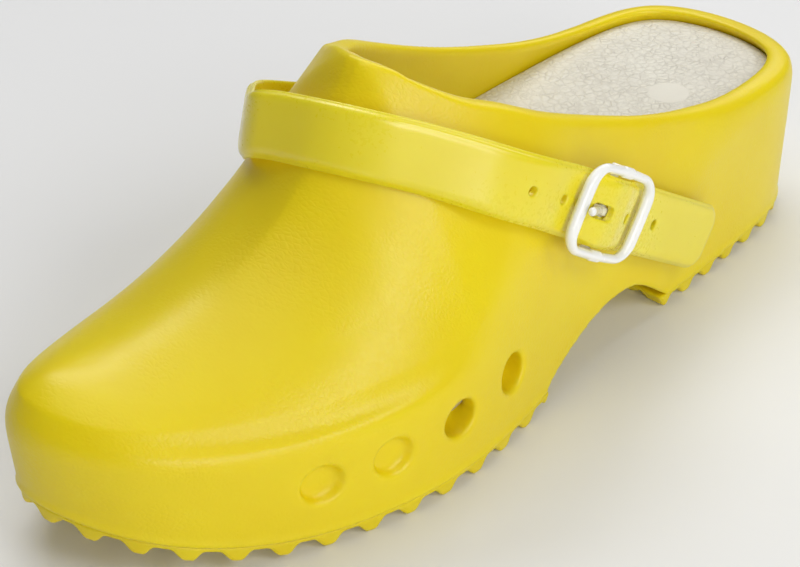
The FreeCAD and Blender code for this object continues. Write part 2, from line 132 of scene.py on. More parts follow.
FRAME_WIDTH = 26.4
FRAME_BAR = 4.3
FRAME_RAIL = 2.8
FRAME_CORNER = 6.6
WINDOW_CORNER = 2.8
PRONG_TIP = (53.9, 65.6)
PRONG_RADIUS = 1.2
STUD_RADIUS = 3.0
STUD_SIDES = 64
SPOT_PLACE = (0.009, 0.08645)   # metres, on the frame
SPOT_RADIUS = 0.0064


# ---------- curves ----------

def smooth(table, at):
    """Smooth curve through the table's points, evaluated on an array."""
    xs = np.array([row[0] for row in table], float)
    vs = np.array([row[1] for row in table], float)
    slopes = np.empty(len(xs))
    slopes[1:-1] = (vs[2:] - vs[:-2]) / (xs[2:] - xs[:-2])
    slopes[0] = (vs[1] - vs[0]) / (xs[1] - xs[0])
    slopes[-1] = (vs[-1] - vs[-2]) / (xs[-1] - xs[-2])
    at = np.clip(np.asarray(at, float), xs[0], xs[-1])
    i = np.clip(np.searchsorted(xs, at, side="right") - 1, 0, len(xs) - 2)
    span = xs[i + 1] - xs[i]
    t = (at - xs[i]) / span
    return ((2 * t**3 - 3 * t**2 + 1) * vs[i] + (t**3 - 2 * t**2 + t) * span * slopes[i]
            + (3 * t**2 - 2 * t**3) * vs[i + 1] + (t**3 - t**2) * span * slopes[i + 1])


def ease(value, low, high):
    """0 below low, 1 above high, smooth between."""
    share = np.clip((value - low) / (high - low), 0, 1)
    return share**2 * (3 - 2 * share)


def closed_spline(points, count):
    """Closed cubic spline through the points, by chord length, sampled at even parameter steps."""
    p = np.array(points, float)
    n = len(p)
    h = np.linalg.norm(np.roll(p, -1, 0) - p, axis=1)
    system = np.zeros((n, n))
    right = np.zeros((n, p.shape[1]))
    for i in range(n):
        before, after = (i - 1) % n, (i + 1) % n
        system[i, before] = h[before]
        system[i, i] = 2 * (h[before] + h[i])
        system[i, after] = h[i]
        right[i] = 6 * ((p[after] - p[i]) / h[i] - (p[i] - p[before]) / h[before])
    bend = np.linalg.solve(system, right)
    knots = np.concatenate([[0], np.cumsum(h)])
    u = np.linspace(0, knots[-1], count, endpoint=False)
    i = np.searchsorted(knots, u, side="right") - 1
    j = (i + 1) % n
    a = ((knots[i + 1] - u) / h[i])[:, None]
    b = 1 - a
    hh = (h[i] ** 2 / 6)[:, None]
    return a * p[i] + b * p[j] + hh * ((a**3 - a) * bend[i] + (b**3 - b) * bend[j])


def rounded_line(line, rounding, spacing):
    """Points and directions along a line whose corners are rounded by arcs."""
    points = [np.array(line[0], float)]
    for i in range(1, len(line) - 1):
        here = np.array(line[i], float)
        back = np.array(line[i - 1], float) - here
        ahead = np.array(line[i + 1], float) - here
        back /= np.linalg.norm(back)
        ahead /= np.linalg.norm(ahead)
        half_turn = (math.pi - math.acos(np.clip(back @ ahead, -1, 1))) / 2
        enter = here + back * rounding[i] * math.tan(half_turn)
        centre = here + (back + ahead) / np.linalg.norm(back + ahead) * rounding[i] / math.cos(half_turn)
        spoke = enter - centre
        turn = math.copysign(2 * half_turn, ahead[0] * back[1] - ahead[1] * back[0])
        steps = max(3, int(rounding[i] * 2 * half_turn / spacing))
        for k in range(steps + 1):
            angle = turn * k / steps
            c, s = math.cos(angle), math.sin(angle)
            points.append(centre + np.array([c * spoke[0] - s * spoke[1], s * spoke[0] + c * spoke[1]]))
    points.append(np.array(line[-1], float))
    dense = [points[0]]
    for p, q in zip(points, points[1:]):
        parts = max(1, int(round(np.linalg.norm(q - p) / spacing)))
        dense += [p + (q - p) * k / parts for k in range(1, parts + 1)]
    dense = np.array(dense)
    return dense, np.gradient(dense, axis=0) / np.linalg.norm(np.gradient(dense, axis=0), axis=1)[:, None]


# ---------- solids as fields, negative inside ----------

def soft_max(a, b, k):
    """The larger of a and b, with the corner between them rounded over a width k."""
    h = np.maximum(k - np.abs(a - b), 0) / k
    return np.maximum(a, b) + h * h * k / 4


def plan_distance(xs, ys, outline):
    """Distance in from a closed outline on a plan grid, negative outside, and the place along it."""
    a = outline
    b = np.roll(outline, -1, 0)
    d = b - a
    length2 = (d**2).sum(1)
    start = np.concatenate([[0], np.cumsum(np.sqrt(length2))])
    rows = np.arange(len(ys))
    out = np.empty((len(xs), len(ys)))
    run = np.empty((len(xs), len(ys)))
    for i, x in enumerate(xs):
        px = x - a[:, 0][None]
        py = ys[:, None] - a[:, 1][None]
        t = np.clip((px * d[:, 0] + py * d[:, 1]) / length2, 0, 1)
        square = (px - t * d[:, 0]) ** 2 + (py - t * d[:, 1]) ** 2
        k = square.argmin(1)
        near = np.sqrt(square[rows, k])
        run[i] = (start[k] + t[rows, k] * np.sqrt(length2[k])) / start[-1]
        crossing = (a[:, 1][None] > ys[:, None]) != (b[:, 1][None] > ys[:, None])
        at = a[:, 0] + (ys[:, None] - a[:, 1]) * d[:, 0] / np.where(d[:, 1] == 0, 1e-9, d[:, 1])
        inside = (crossing & (x < at)).sum(1) % 2 == 1
        out[i] = np.where(inside, near, -near)
    return out, run


def blur(grid, width):
    """Gaussian blur of a plan grid, width in cells."""
    reach = int(3 * width)
    kernel = np.exp(-0.5 * (np.arange(-reach, reach + 1) / width) ** 2)
    kernel /= kernel.sum()
    for axis in (0, 1):
        padded = np.pad(grid, [(reach, reach) if axis == k else (0, 0) for k in (0, 1)], mode="edge")
        grid = np.apply_along_axis(lambda row: np.convolve(row, kernel, "valid"), axis, padded)
    return grid


def sloped(heights, step):
    """Factor that turns a height difference into a distance from the sloped surface."""
    gx, gy = np.gradient(heights, step)
    return 1 / np.sqrt(1 + gx**2 + gy**2)


def sample(grid, at):
    """Trilinear value of a grid at fractional cell places."""
    base = np.clip(np.floor(at).astype(int), 0, np.array(grid.shape) - 2)
    t = at - base
    total = 0.0
    for i in (0, 1):
        for j in (0, 1):
            for k in (0, 1):
                weight = np.abs(1 - i - t[:, 0]) * np.abs(1 - j - t[:, 1]) * np.abs(1 - k - t[:, 2])
                total = total + weight * grid[base[:, 0] + i, base[:, 1] + j, base[:, 2] + k]
    return total


def net_mesh(name, field, low, step, to_shoe=None):
    """Closed mesh of the field's zero surface (surface nets), with quads of about one step."""
    inside = field < 0
    corners = [(i, j, k) for i in (0, 1) for j in (0, 1) for k in (0, 1)]
    nx, ny, nz = (n - 1 for n in field.shape)
    count = sum(inside[i:i + nx, j:j + ny, k:k + nz].astype(np.int8) for i, j, k in corners)
    cells = np.argwhere((count > 0) & (count < 8))
    values = [field[cells[:, 0] + i, cells[:, 1] + j, cells[:, 2] + k] for i, j, k in corners]
    total = np.zeros((len(cells), 3))
    hits = np.zeros(len(cells))
    for a in range(8):
        for b in range(a + 1, 8):
            step_ab = np.array(corners[b]) - np.array(corners[a])
            if np.abs(step_ab).sum() != 1:
                continue
            crosses = (values[a] < 0) != (values[b] < 0)
            t = values[a] / np.where(crosses, values[a] - values[b], 1)
            total += np.where(crosses[:, None], np.array(corners[a]) + t[:, None] * step_ab, 0)
            hits += crosses
    points = cells + total / hits[:, None]
    index = np.full((nx, ny, nz), -1, np.int32)
    index[tuple(cells.T)] = np.arange(len(cells))
    quads = []
    for axis in range(3):
        u, v = (axis + 1) % 3, (axis + 2) % 3
        here = [slice(None)] * 3
        there = [slice(None)] * 3
        here[axis], there[axis] = slice(0, -1), slice(1, None)
        flips = inside[tuple(here)] != inside[tuple(there)]
        edges = np.argwhere(flips)
        edges = edges[(edges[:, u] > 0) & (edges[:, v] > 0)]
        ring = []
        for du, dv in ((1, 1), (0, 1), (0, 0), (1, 0)):
            cell = edges.copy()
            cell[:, u] -= du
            cell[:, v] -= dv
            ring.append(index[tuple(cell.T)])
        quad = np.stack(ring, 1)
        outward = inside[tuple(edges.T)]
        quads.append(np.where(outward[:, None], quad, quad[:, ::-1]))
    quads = np.concatenate(quads)
    # Even the points out along the surface, and pull them back onto it each time.
    slopes = np.gradient(field)
    for _ in range(3):
        pull = np.zeros_like(points)
        count = np.zeros(len(points))
        for a, b in ((0, 1), (1, 2), (2, 3), (3, 0)):
            for k in range(3):
                pull[:, k] += np.bincount(quads[:, a], points[quads[:, b], k], len(points))
            count += np.bincount(quads[:, a], minlength=len(points))
        points = points * 0.5 + pull / np.maximum(count, 1)[:, None] * 0.5
        for _ in range(2):
            grad = np.stack([sample(g, points) for g in slopes], 1)
            size = np.maximum((grad**2).sum(1), 0.05)
            shift = (sample(field, points) / size)[:, None] * grad
            points = points - np.clip(shift, -0.5, 0.5)
    points = points * step + np.array(low)
    return mesh_object(name, to_shoe(points) if to_shoe else points, quads)


def mesh_object(name, points_mm, faces):
    """Smooth-shaded object on the frame from drawing coordinates."""
    mesh = bpy.data.meshes.new(name)
    points = (np.asarray(points_mm) + SHIFT) * MM
    mesh.from_pydata(points.tolist(), [], np.asarray(faces).tolist())
    mesh.validate()
    mesh.polygons.foreach_set("use_smooth", [True] * len(mesh.polygons))
    obj = bpy.data.objects.new(name, mesh)
    bpy.context.scene.collection.objects.link(obj)
    return obj


# ---------- the shoe's surfaces ----------

def welt_distance(xs, ys):
    """Distance in from the welt's outline on a plan grid, and the place along the outline from 0 to 1."""
    return plan_distance(xs, ys, closed_spline(WELT_PLAN, OUTLINE_POINTS))


def sole_line(y, drop):
    """Height of the wall's lower edge less drop; the toe springs up at the front."""
    share = np.clip((TOE_SPRING_FROM - y) / TOE_SPRING_RUN, 0, 1.3)
    return TREAD - drop + TOE_SPRING * share**2


def vamp_heights(xs, ys, inset_map, inward, step):
    """Height map of the upper's surface, or of its lining when inward is the wall thickness."""
    ledge = 0.0
    if not inward:
        ledge = LEDGE * smooth(LEDGE_SPAN, ys)[None] * (0.5 + 0.5 * np.tanh(xs / 12))[:, None]
        ledge = ledge * (1 - np.exp(-((inset_map / 3.2) ** 2))) * np.clip(1.6 - inset_map / 26, 0, 1)
    share = (inset_map - inward - ledge) / VAMP_SPREAD
    power = smooth(VAMP_ROUND, ys)[None] - SIDE_LEAN * np.tanh(xs / 20)[:, None]
    part = np.minimum(np.abs(share), 1.0)
    steep = np.maximum(part, STEEP_SHARE)
    rise = (1 - (1 - steep) ** power) ** (1 / power) * part / steep * np.sign(share)
    weight = ease(inset_map, 10, 24) * (1 - ease(ys, -95, -70) * (1 - ease(ys, -5, 20)))[None]
    rise = rise * (1 - weight) + blur(rise, 6.0 / step) * weight
    return smooth(WELT_HEIGHT, ys)[None] + smooth(VAMP_RISE, ys)[None] * rise - LINING_DROP * inward


def wall_draft(inset, step, z):
    """How far the sole wall leans in at height z: less on the outer side, more on the inner side."""
    low = (WALL_DRAFT + FOOT_SHIFT * np.clip(np.gradient(inset, step, axis=0), -1, 1))[:, :, None]
    return low * np.clip((DRAFT_FROM - z) / DRAFT_RUN, 0, 1)


def clog_body(step):
    """The moulded upper: dome and wall, less the room for the foot, the mouth, the arch and the vents."""
    xs = np.arange(*GRID_X, step)
    ys = np.arange(-150, 142, step)
    zs = np.arange(0, 110, step)
    inset, _ = welt_distance(xs, ys)
    outer_top = vamp_heights(xs, ys, inset, 0, step)
    inner_top = vamp_heights(xs, ys, inset, WALL, step)
    z = zs[None, None, :]
    y = ys[None, :, None]
    draft = wall_draft(inset, step, z)
    bead = BEAD_DEPTH * np.exp(-(((z - sole_line(ys, 0)[None, :, None] - BEAD_HEIGHT) / BEAD_HEIGHT) ** 2))
    side = -(inset[:, :, None] - draft) - bead
    dome = (z - outer_top[:, :, None]) * sloped(outer_top, step)[:, :, None]
    ridge = smooth(WELT_EDGE, ys)[None, :, None]
    field = soft_max(side, dome, ridge)
    lining = (z - inner_top[:, :, None]) * sloped(inner_top, step)[:, :, None]
    cavity = soft_max(-(inset[:, :, None] - WALL), lining, 6.0)
    floor = smooth(FOOTBED_HEIGHT, ys)[None, :, None] - COVER - CUSHION
    cavity = soft_max(cavity, floor - z, 1.0)
    field = soft_max(field, -cavity, 1.0)
    rim = smooth(RIM_HEIGHT, ys)
    rim_slope = 1 / np.sqrt(1 + np.gradient(rim, step) ** 2)
    rim_edge = smooth(RIM_EDGE, ys)[None, :, None]
    field = soft_max(field, (z - rim[None, :, None]) * rim_slope[None, :, None], rim_edge)
    under = sole_line(ys, 0)
    arch = smooth(ARCH_EDGE, ys)
    waist = (ys > ARCH_EDGE[0][0]) & (ys < ARCH_EDGE[-1][0])
    under = np.where(waist, np.maximum(arch, under), under)
    under_slope = 1 / np.sqrt(1 + np.gradient(under, step) ** 2)
    field = soft_max(field, (under[None, :, None] - z) * under_slope[None, :, None], 0.4)
    for i, (vent_y, vent_z) in enumerate(VENTS):
        hole = np.sqrt((y - vent_y) ** 2 + (z - vent_z) ** 2) - VENT_RADIUS
        blind = i < BLIND_VENTS
        bottom = inset[:, :, None] - (BLIND_DEPTH if blind else WALL + 3.0)
        near = (np.abs(y - vent_y) < 14) & (inset[:, :, None] < 12)
        vent = soft_max(hole, bottom, 2.6 if blind else 1.0)
        field = np.where(near, soft_max(field, -vent, VENT_RIM), field)
    return net_mesh("clog_body_moulding", field.astype(np.float32), (xs[0], ys[0], zs[0]), step)


def lug_relief(xs, ys, inset, run):
    """0 on a lug's face, 1 in a groove: one row of lugs round the edge, diamonds inside it."""
    along = (xs[:, None] + ys[None]) * math.sqrt(0.5) / LUG_PITCH
    cross = (xs[:, None] - ys[None]) * math.sqrt(0.5) / LUG_PITCH
    away = np.maximum(np.abs(along - np.round(along)), np.abs(cross - np.round(cross))) * LUG_PITCH
    diamonds = ease(away, 2.6, 4.0)
    wave = np.abs(run * EDGE_LUGS - np.round(run * EDGE_LUGS)) * 2
    edge = ease(wave, 0.16, 0.74)
    lane = ease(np.abs(inset - EDGE_LUG_RUN - EDGE_LANE), 0.6, 1.6)
    return np.maximum(np.where(inset < EDGE_LUG_RUN + EDGE_LANE, edge, diamonds), 1 - lane)


def outsole(name, front, back, front_slope, back_slope, step=0.6):
    """One tread, from y = front to y = back at ground level, its ends leaning by the slopes."""
    xs = np.arange(*GRID_X, step)
    ys = np.arange(max(front, -148) - 6, min(back, 140) + 22, step)
    zs = np.arange(-2.1, 24 if front < -100 else 8, step)
    inset, run = welt_distance(xs, ys)
    z = zs[None, None, :]
    y = ys[None, :, None]
    side = -(inset[:, :, None] - wall_draft(inset, step, z) - TREAD_STEP)
    top = z - sole_line(ys, 0)[None, :, None]
    tread = sole_line(ys, TREAD)[None] + LUG_DEPTH * lug_relief(xs, ys, inset, run)
    field = soft_max(side, (tread[:, :, None] - z) * sloped(tread, step)[:, :, None], 1.2)
    field = soft_max(field, top, 0.3)
    field = soft_max(field, (front + front_slope * z) - y, 1.0)
    field = soft_max(field, y - (back + back_slope * z), 1.0)
    return net_mesh(name, field.astype(np.float32), (xs[0], ys[0], zs[0]), step)


# ---------- materials ----------

class Nodes:
    """Short way to build a material's node tree."""

    def __init__(self, name):
        self.material = bpy.data.materials.new(name)
        self.material.use_nodes = True
        self.tree = self.material.node_tree
        self.tree.nodes.clear()
        self.shader = self.add("ShaderNodeBsdfPrincipled")
        out = self.add("ShaderNodeOutputMaterial")
        self.link(self.shader.outputs["BSDF"], out.inputs["Surface"])
        self.place = self.add("ShaderNodeTexCoord").outputs["Object"]

    def add(self, kind, **values):
        node = self.tree.nodes.new(kind)
        for key, value in values.items():
            setattr(node, key, value)
        return node

    def link(self, source, target):
        self.tree.links.new(source, target)

    def noise(self, scale, detail=3.0, roughness=0.55):
        node = self.add("ShaderNodeTexNoise")
        node.inputs["Scale"].default_value = scale
        node.inputs["Detail"].default_value = detail
        node.inputs["Roughness"].default_value = roughness
        self.link(self.place, node.inputs["Vector"])
        return node.outputs["Fac"]

    def mapped(self, stretch):
        """Object coordinates, scaled by stretch if it is given."""
        if not stretch:
            return self.place
        mapping = self.add("ShaderNodeMapping")
        mapping.inputs["Scale"].default_value = stretch
        self.link(self.place, mapping.inputs["Vector"])
        return mapping.outputs["Vector"]

    def cells(self, scale, warp, stretch=None):
        """Distance to the nearest cell edge; warp, in metres, makes the edges wander."""
        source = self.mapped(stretch)
        noise = self.add("ShaderNodeTexNoise")
        noise.inputs["Scale"].default_value = scale * 0.9
        self.link(source, noise.inputs["Vector"])
        shift = self.add("ShaderNodeVectorMath", operation="MULTIPLY_ADD")
        self.link(noise.outputs["Color"], shift.inputs[0])
        shift.inputs[1].default_value = (warp, warp, warp)
        self.link(source, shift.inputs[2])
        node = self.add("ShaderNodeTexVoronoi", feature="DISTANCE_TO_EDGE")
        node.inputs["Scale"].default_value = scale
        self.link(shift.outputs["Vector"], node.inputs["Vector"])
        return node.outputs["Distance"]

    def ramp(self, source, low, high, from_value=0.0, to_value=1.0):
        """from_value where source is low or less, to_value where it is high or more, linear between."""
        node = self.add("ShaderNodeMapRange")
        node.inputs["From Min"].default_value = low
        node.inputs["From Max"].default_value = high
        node.inputs["To Min"].default_value = from_value
        node.inputs["To Max"].default_value = to_value
        self.link(source, node.inputs["Value"])
        return node.outputs["Result"]

    def maths(self, operation, a, b):
        node = self.add("ShaderNodeMath", operation=operation)
        for socket, value in zip(node.inputs, (a, b)):
            if isinstance(value, (int, float)):
                socket.default_value = value
            else:
                self.link(value, socket)
        return node.outputs["Value"]

    def mix(self, share, a, b):
        node = self.add("ShaderNodeMix", data_type="RGBA")
        self.link(share, node.inputs["Factor"])
        for socket, value in ((node.inputs[6], a), (node.inputs[7], b)):
            if isinstance(value, tuple):
                socket.default_value = (*value, 1.0)
            else:
                self.link(value, socket)
        return node.outputs[2]

    def bump(self, height, distance_mm, strength=1.0, under=None):
        """Normal bent by a height map, on top of the normal under it if there is one."""
        node = self.add("ShaderNodeBump")
        node.inputs["Strength"].default_value = strength
        node.inputs["Distance"].default_value = distance_mm * MM
        self.link(height, node.inputs["Height"])
        if under is not None:
            self.link(under, node.inputs["Normal"])
        return node.outputs["Normal"]


def colour(red, green, blue):
    """Linear colour from sRGB values of 0 to 255."""
    shares = [v / 255 for v in (red, green, blue)]
    return tuple(v / 12.92 if v * 255 < 11 else ((v + 0.055) / 1.055) ** 2.4 for v in shares)


def foam_material(name, tints, roughness, grain_mm):
    """Satin foam or plastic: clouds of two tints, dusty patches of the third and a fine grain."""
    base, darker, dusty = (colour(*tint) for tint in tints)
    m = Nodes(name)
    cloud = m.ramp(m.noise(26, 4), 0.35, 0.68)
    speck = m.ramp(m.noise(900, 2), 0.30, 0.74)
    tint = m.mix(cloud, base, darker)
    dust = m.ramp(m.noise(120, 5, 0.7), 0.60, 0.78, 0.0, 0.22)
    m.link(m.mix(dust, tint, dusty), m.shader.inputs["Base Color"])
    m.link(m.ramp(m.maths("ADD", cloud, speck), 0.2, 1.8, roughness - 0.05, roughness + 0.08),
           m.shader.inputs["Roughness"])
    grain = m.bump(m.noise(1500, 2, 0.6), grain_mm)
    m.link(m.bump(m.noise(160, 3), 0.06, under=grain), m.shader.inputs["Normal"])
    m.shader.inputs["Specular IOR Level"].default_value = 0.45
    m.shader.inputs["Subsurface Weight"].default_value = 0.3
    m.shader.inputs["Subsurface Radius"].default_value = (1.0, 0.75, 0.1)
    m.shader.inputs["Subsurface Scale"].default_value = 0.004
    return m


def upper_material():
    """Moulded foam with a fine leather-like grain of short creases."""
    m = foam_material("yellow_foam", [(238, 216, 14), (234, 209, 8), (241, 226, 54)], 0.36, 0.012)
    creases = m.ramp(m.cells(820, 0.0008, stretch=(0.55, 1.0, 1.0)), 0.0, 0.30)
    patchy = m.maths("MULTIPLY", creases, m.ramp(m.noise(45, 3), 0.35, 0.62))
    skin = m.bump(patchy, 0.045, 0.8, under=m.shader.inputs["Normal"].links[0].from_socket)
    m.link(skin, m.shader.inputs["Normal"])
    return m.material


def tread_material():
    tints = [(234, 212, 16), (227, 202, 8), (240, 228, 80)]
    return foam_material("yellow_tread", tints, 0.45, 0.026).material


def strap_material():
    """Glossy plastic with a clear coat and hardly any grain."""
    m = foam_material("strap_plastic", [(238, 223, 40), (234, 217, 30), (240, 228, 66)], 0.3, 0.002)
    m.shader.inputs["Specular IOR Level"].default_value = 0.6
    m.shader.inputs["Coat Weight"].default_value = 0.4
    m.shader.inputs["Coat Roughness"].default_value = 0.26
    return m.material


def buckle_material():
    """Hard white plastic, slightly uneven in its gloss."""
    m = Nodes("white_plastic")
    cloud = m.ramp(m.noise(90, 4), 0.3, 0.7)
    m.link(m.mix(cloud, colour(252, 252, 249), colour(246, 247, 244)), m.shader.inputs["Base Color"])
    m.link(m.ramp(m.noise(420, 3), 0.3, 0.7, 0.17, 0.29), m.shader.inputs["Roughness"])
    m.link(m.bump(m.noise(700, 2), 0.005), m.shader.inputs["Normal"])
    m.shader.inputs["Coat Weight"].default_value = 0.4
    m.shader.inputs["Coat Roughness"].default_value = 0.08
    return m.material


def leather_material():
    """Pebbled off-white leather with one smooth round pressed spot; its creases are darkened by painted
    shade.
    """
    m = Nodes("insole_leather")
    cells = m.cells(400, 0.0016)
    fine = m.cells(1000, 0.0006)
    split = m.add("ShaderNodeSeparateXYZ")
    m.link(m.place, split.inputs["Vector"])
    dx = m.maths("SUBTRACT", split.outputs["X"], SPOT_PLACE[0])
    dy = m.maths("SUBTRACT", split.outputs["Y"], SPOT_PLACE[1])
    away = m.maths("SQRT", m.maths("ADD", m.maths("MULTIPLY", dx, dx), m.maths("MULTIPLY", dy, dy)), 0.0)
    plain = m.ramp(away, SPOT_RADIUS * 0.93, SPOT_RADIUS * 1.05)
    creased = m.ramp(cells, 0.0, 0.20)
    patchy = m.ramp(m.noise(220, 3), 0.35, 0.65, 0.35, 1.0)
    # painted shade: the colour goes darker along the creases between the pebbles, in patches, and not on the
    # pressed spot
    crease_shade = m.maths("MULTIPLY", m.maths("MULTIPLY", m.maths("SUBTRACT", 1.0, creased), plain), patchy)
    cloud = m.ramp(m.noise(40, 5, 0.6), 0.32, 0.7)
    tint = m.mix(cloud, colour(236, 232, 218), colour(228, 223, 209))
    # up to a third of a dark grey-brown is mixed in there as painted shade
    tint_with_crease_shade = m.mix(m.maths("MULTIPLY", crease_shade, 0.32), tint, colour(170, 162, 148))
    m.link(tint_with_crease_shade, m.shader.inputs["Base Color"])
    m.link(m.ramp(m.maths("ADD", creased, m.noise(500)), 0.2, 1.7, 0.62, 0.46), m.shader.inputs["Roughness"])
    crowned = m.maths("POWER", m.ramp(cells, 0.0, 0.42), 0.8)
    height = m.maths("MULTIPLY", m.maths("MULTIPLY", crowned, plain), patchy)
    small = m.maths("MULTIPLY", m.ramp(fine, 0.0, 0.4), plain)
    first = m.bump(height, 0.40, 0.9)
    m.link(m.bump(small, 0.09, 0.9, under=first), m.shader.inputs["Normal"])
    return m.material


def foam_base_material():
    tints = [(196, 180, 150), (184, 168, 138), (206, 194, 168)]
    return foam_material("insole_foam", tints, 0.7, 0.05).material


def stud_material():
    tints = [(224, 206, 30), (216, 196, 22), (236, 226, 84)]
    return foam_material("stud_plastic", tints, 0.32, 0.01).material


# ---------- separate pieces ----------

def strap_place(points):
    """From (x, reach, width) in the strap's own axes to drawing coordinates."""
    p = np.asarray(points, float)
    c, s = math.cos(STRAP_TILT), math.sin(STRAP_TILT)
    return np.stack([p[:, 0], PIVOT_Y - c * p[:, 1] + s * p[:, 2], PIVOT_Z + s * p[:, 1] + c * p[:, 2]], 1)


def strap_bend(points):
    """As strap_place, and the strap sinks, leans and widens along its run as the tables say."""
    p = np.asarray(points, float)
    line, _ = rounded_line(STRAP_LINE, STRAP_ROUNDING, 0.6)
    run = np.concatenate([[0], np.cumsum(np.linalg.norm(np.diff(line, axis=0), axis=1))])
    here = np.empty(len(p))
    for start in range(0, len(p), 4000):
        part = p[start:start + 4000, None, :2] - line[None]
        here[start:start + 4000] = run[(part**2).sum(2).argmin(1)]
    a, b = line[:-1], line[1:]
    k = np.clip(np.searchsorted(run, here), 1, len(line) - 2)
    along = b[k] - a[k - 1]
    length = np.linalg.norm(along, axis=1)
    here = run[k - 1] + ((p[:, :2] - a[k - 1]) * along).sum(1) / length
    drop = smooth(STRAP_DROP, here)
    lean = np.radians(smooth(STRAP_LEAN, here))
    wide = p[:, 2] * smooth(STRAP_SPREAD, here)
    c, s = math.cos(STRAP_TILT), math.sin(STRAP_TILT)
    return np.stack([p[:, 0], PIVOT_Y - c * p[:, 1] + s * drop + np.sin(lean) * wide,
                     PIVOT_Z + s * p[:, 1] + c * drop + np.cos(lean) * wide], 1)


def along_line(xs, rs, line, rounding):
    """Signed offset from a rounded line and distance along it, on a plan grid; ends run on straight."""
    extra = 8.0
    p, d = rounded_line(line, rounding, 0.6)
    p = np.concatenate([[p[0] - d[0] * extra], p, [p[-1] + d[-1] * extra]])
    start = np.concatenate([[0], np.cumsum(np.linalg.norm(np.diff(p, axis=0), axis=1))])
    a, b = p[:-1], p[1:]
    seg = b - a
    length2 = (seg**2).sum(1)
    rows = np.arange(len(rs))
    offset = np.empty((len(xs), len(rs)))
    run = np.empty((len(xs), len(rs)))
    for i, x in enumerate(xs):
        px = x - a[:, 0][None]
        pr = rs[:, None] - a[:, 1][None]
        t = np.clip((px * seg[:, 0] + pr * seg[:, 1]) / length2, 0, 1)
        dx, dr = px - t * seg[:, 0], pr - t * seg[:, 1]
        far = np.sqrt(dx**2 + dr**2)
        k = far.argmin(1)
        side = np.sign(seg[k, 1] * px[0, k] - seg[k, 0] * pr[rows, k])
        offset[i] = far[rows, k] * side
        run[i] = start[k] + t[rows, k] * np.sqrt(length2[k]) - extra
    return offset, run, start[-1] - 2 * extra


def rounded_box(u, v, half_u, half_v, radius):
    """Distance in from a rectangle with rounded corners, positive inside."""
    qu, qv = np.abs(u) - half_u + radius, np.abs(v) - half_v + radius
    outside = np.sqrt(np.maximum(qu, 0) ** 2 + np.maximum(qv, 0) ** 2)
    return radius - outside - np.minimum(np.maximum(qu, qv), 0)


def strap_field(axes, line, rounding, width, corners, under, over, lip):
    """Moulded strip: thin lip all round, then a raised panel, over mm above the middle and under mm below.

    corners are the corner radii at its two ends; lip is where it ends, where the panel begins, its height.
    """
    xs, rs, ws = axes
    offset, run, length = along_line(xs, rs, line, rounding)
    run = run[:, :, None]
    w = ws[None, None, :]
    radius = np.where(run < length / 2, corners[0], corners[1])
    inset = rounded_box(run - length / 2, w, length / 2, width / 2, radius)
    share = np.clip((inset - lip[0]) / (lip[1] - lip[0]), 0, 1)
    share = np.sqrt(1 - (1 - share) ** 2)
    top = lip[2] + (over - lip[2]) * share
    field = soft_max(offset[:, :, None] - top, -inset, 0.7)
    return soft_max(field, -offset[:, :, None] - under, 0.7)


def axes_for(low, high, step):
    """Grid lines of a box in the strap's own axes."""
    return [np.arange(a, b + step, step) for a, b in zip(low, high)]


def cross_hole(axes, reach, radius, stretch, side_x):
    """Field of a round or stretched hole through the strap along x, at one reach, on one side of the shoe."""
    xs, rs, ws = axes
    r = rs[None, :, None] - reach
    r = np.sign(r) * np.maximum(np.abs(r) - stretch, 0)
    hole = np.sqrt(r**2 + ws[None, None, :] ** 2) - radius
    return np.where(xs[:, None, None] * math.copysign(1, side_x) > 20, hole, 50.0)


def strap_net(name, field, axes, step, to_shoe=strap_place):
    return net_mesh(name, field.astype(np.float32), [a[0] for a in axes], step, to_shoe)


def heel_strap(step=0.42):
    """The strap from its free end on the outer side, over the instep, to the inner stud."""
    axes = axes_for((-49, -15, -10.4), (54, 128, 10.4), step)
    field = strap_field(axes, STRAP_LINE, STRAP_ROUNDING, STRAP_WIDTH, corners=(5.5, 6.0), under=1.1,
                        over=1.35, lip=(0.7, 3.1, 0.0))
    for reach in STRAP_HOLES_AT:
        field = soft_max(field, -cross_hole(axes, reach, STRAP_HOLE_RADIUS, 0, 1), 0.4)
    prong_hole = cross_hole(axes, PRONG_HOLE_AT, PRONG_HOLE_RADIUS, PRONG_HOLE_STRETCH, 1)
    field = soft_max(field, -prong_hole, 0.4)
    field = soft_max(field, -cross_hole(axes, 0.0, STUD_HOLE_RADIUS, 0, -1), 0.4)
    return strap_net("heel_strap_moulding", field, axes, step, strap_bend)


def anchor_strap(step=0.4):
    """Short strip from the outer stud, with a loop round the buckle's bar and a slot for the prong."""
    axes = axes_for((40, -11, -8.4), (50, 54, 8.4), step)
    field = strap_field(axes, ANCHOR_LINE, ANCHOR_ROUNDING, ANCHOR_WIDTH, corners=(6.0, 0.5), under=0.7,
                        over=0.7, lip=(0.8, 1.8, 0.3))
    x, r, w = (axes[0][:, None, None], axes[1][None, :, None], axes[2][None, None, :])
    from_bar = np.sqrt((x - BAR_X) ** 2 + (r - BAR_REACH) ** 2)
    loop = soft_max(from_bar - 2.0, np.abs(w) - ANCHOR_WIDTH / 2, 0.5)
    field = -soft_max(-field, -loop, 1.0)
    field = soft_max(field, BAR_HOLE_RADIUS - from_bar, 0.1)
    slot = np.maximum(np.abs(w) - 1.6, np.abs(r - BAR_REACH - 2.6) - 6.0)
    slot = np.maximum(slot, BAR_X - 3 - x)
    field = soft_max(field, -slot, 0.2)
    hole = np.sqrt(r**2 + w**2) - STUD_HOLE_RADIUS
    return strap_net("anchor_strap_moulding", soft_max(field, -hole, 0.3), axes, step)


